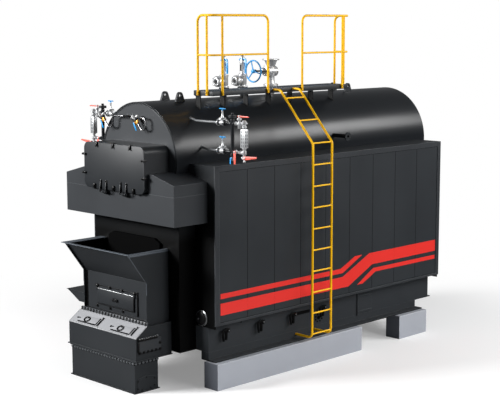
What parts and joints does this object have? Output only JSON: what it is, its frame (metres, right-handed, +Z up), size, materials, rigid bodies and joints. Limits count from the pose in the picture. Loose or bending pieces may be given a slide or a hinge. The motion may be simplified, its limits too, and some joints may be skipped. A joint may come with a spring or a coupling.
{
  "type": "industrial boiler",
  "caption": "Packaged water-tube boiler: long clad casing under a round drum, smoke box and coal hopper in front, grate below, with walkway, ladder, valves and gauges.",
  "frame": {"origin": "on the floor, under the middle of the overall length and width", "axes": "+X to the boiler's right (the ladder side), +Y from the hopper to the rear, +Z up"},
  "size_m": [3.73, 6.119, 4.992],
  "materials": {
    "charcoal_paint": "satin",
    "dark_steel": "matt",
    "deck_paint": "matt",
    "gauge_brass": "satin",
    "grey_cover_paint": "satin",
    "plinth_paint": "matt",
    "valve_metal": "satin",
    "valve_paint": "satin",
    "wheel_paint": "gloss",
    "yellow_paint": "gloss"
  },
  "bodies": {
    "boiler": {"ash_box": "charcoal_paint", "casing_core": "charcoal_paint", "chute_cheek_left": "charcoal_paint", "chute_cheek_right": "charcoal_paint", "chute_front": "charcoal_paint", "door_hinges": "charcoal_paint", "drive_guard": "charcoal_paint", "drum_front_head": "charcoal_paint", "drum_rear_head": "charcoal_paint", "drum_shell": "charcoal_paint", "feed_gate": "charcoal_paint", "front_neck": "charcoal_paint", "front_wall": "charcoal_paint", "grate_chassis": "charcoal_paint", "grate_front": "charcoal_paint", "header_box": "charcoal_paint", "header_shoulders": "charcoal_paint", "hopper_front": "charcoal_paint", "hopper_rim": "charcoal_paint", "ladder": "yellow_paint", "ladder_rungs": "yellow_paint", "lifting_lugs": "charcoal_paint", "plinths_front": "plinth_paint", "plinths_rear": "plinth_paint", "pressure_gauge_left": "gauge_brass", "pressure_gauge_right": "gauge_brass", "railing_front": "yellow_paint", "railing_rear": "yellow_paint", "rear_wall": "charcoal_paint", "safety_valve_front": "valve_metal", "safety_valve_rear": "valve_metal", "side_frame_left": "charcoal_paint", "side_frame_right": "charcoal_paint", "side_hatches": "charcoal_paint", "side_nozzle": "charcoal_paint", "side_panels_left": "charcoal_paint", "side_panels_right": "charcoal_paint", "sight_ports": "dark_steel", "sills": "charcoal_paint", "sloped_cover": "grey_cover_paint", "smoke_box": "charcoal_paint", "steam_valve": "valve_paint", "walkway_deck": "deck_paint", "walkway_supports": "charcoal_paint", "water_gauge_left": "gauge_brass", "water_gauge_right": "gauge_brass"},
    "smoke_box_door": {"smoke_box_door": "charcoal_paint"},
    "feed_door": {"feed_door": "charcoal_paint"},
    "inspection_lid_left": {"inspection_lid_left": "grey_cover_paint"},
    "inspection_lid_right": {"inspection_lid_right": "grey_cover_paint"},
    "skirt_door": {"skirt_door": "charcoal_paint"},
    "steam_wheel": {"steam_wheel": "wheel_paint"},
    "damper_lever_1": {"damper_lever_1": "dark_steel"},
    "damper_lever_2": {"damper_lever_2": "dark_steel"},
    "damper_lever_3": {"damper_lever_3": "dark_steel"},
    "damper_lever_4": {"damper_lever_4": "dark_steel"}
  },
  "joints": [
    {"name": "smoke_box_door_hinge", "type": "hinge", "parent": "boiler", "child": "smoke_box_door", "pos_m": [0, -2.7435, 2.603], "axis": [1, 0, 0], "range_deg": [0, 100]},
    {"name": "feed_door_hinge", "type": "hinge", "parent": "boiler", "child": "feed_door", "pos_m": [0, -2.7335, 1.236], "axis": [-1, 0, 0], "range_deg": [0, 90]},
    {"name": "inspection_lid_left_hinge", "type": "hinge", "parent": "boiler", "child": "inspection_lid_left", "pos_m": [-0.129, -2.92066, 0.82002], "axis": [0, 0.821, 0.5709], "range_deg": [0, 110]},
    {"name": "inspection_lid_right_hinge", "type": "hinge", "parent": "boiler", "child": "inspection_lid_right", "pos_m": [0.599, -2.92066, 0.82002], "axis": [0, 0.821, 0.5709], "range_deg": [0, 110]},
    {"name": "skirt_door_hinge", "type": "hinge", "parent": "boiler", "child": "skirt_door", "pos_m": [1.161, 0.9945, 0.64], "axis": [0, 0, -1], "range_deg": [0, 100]},
    {"name": "steam_wheel_turn", "type": "hinge", "parent": "boiler", "child": "steam_wheel", "pos_m": [0, -0.0695, 4.161], "axis": [0, 1, 0], "continuous": true},
    {"name": "damper_lever_1_turn", "type": "hinge", "parent": "boiler", "child": "damper_lever_1", "pos_m": [1.152, -1.7525, 0.738], "axis": [1, 0, 0], "range_deg": [-30, 30]},
    {"name": "damper_lever_2_turn", "type": "hinge", "parent": "boiler", "child": "damper_lever_2", "pos_m": [1.152, -1.0765, 0.738], "axis": [1, 0, 0], "range_deg": [-30, 30]},
    {"name": "damper_lever_3_turn", "type": "hinge", "parent": "boiler", "child": "damper_lever_3", "pos_m": [1.152, -0.4225, 0.738], "axis": [1, 0, 0], "range_deg": [-30, 30]},
    {"name": "damper_lever_4_turn", "type": "hinge", "parent": "boiler", "child": "damper_lever_4", "pos_m": [1.152, 0.2115, 0.738], "axis": [1, 0, 0], "range_deg": [-30, 30]}
  ]
}
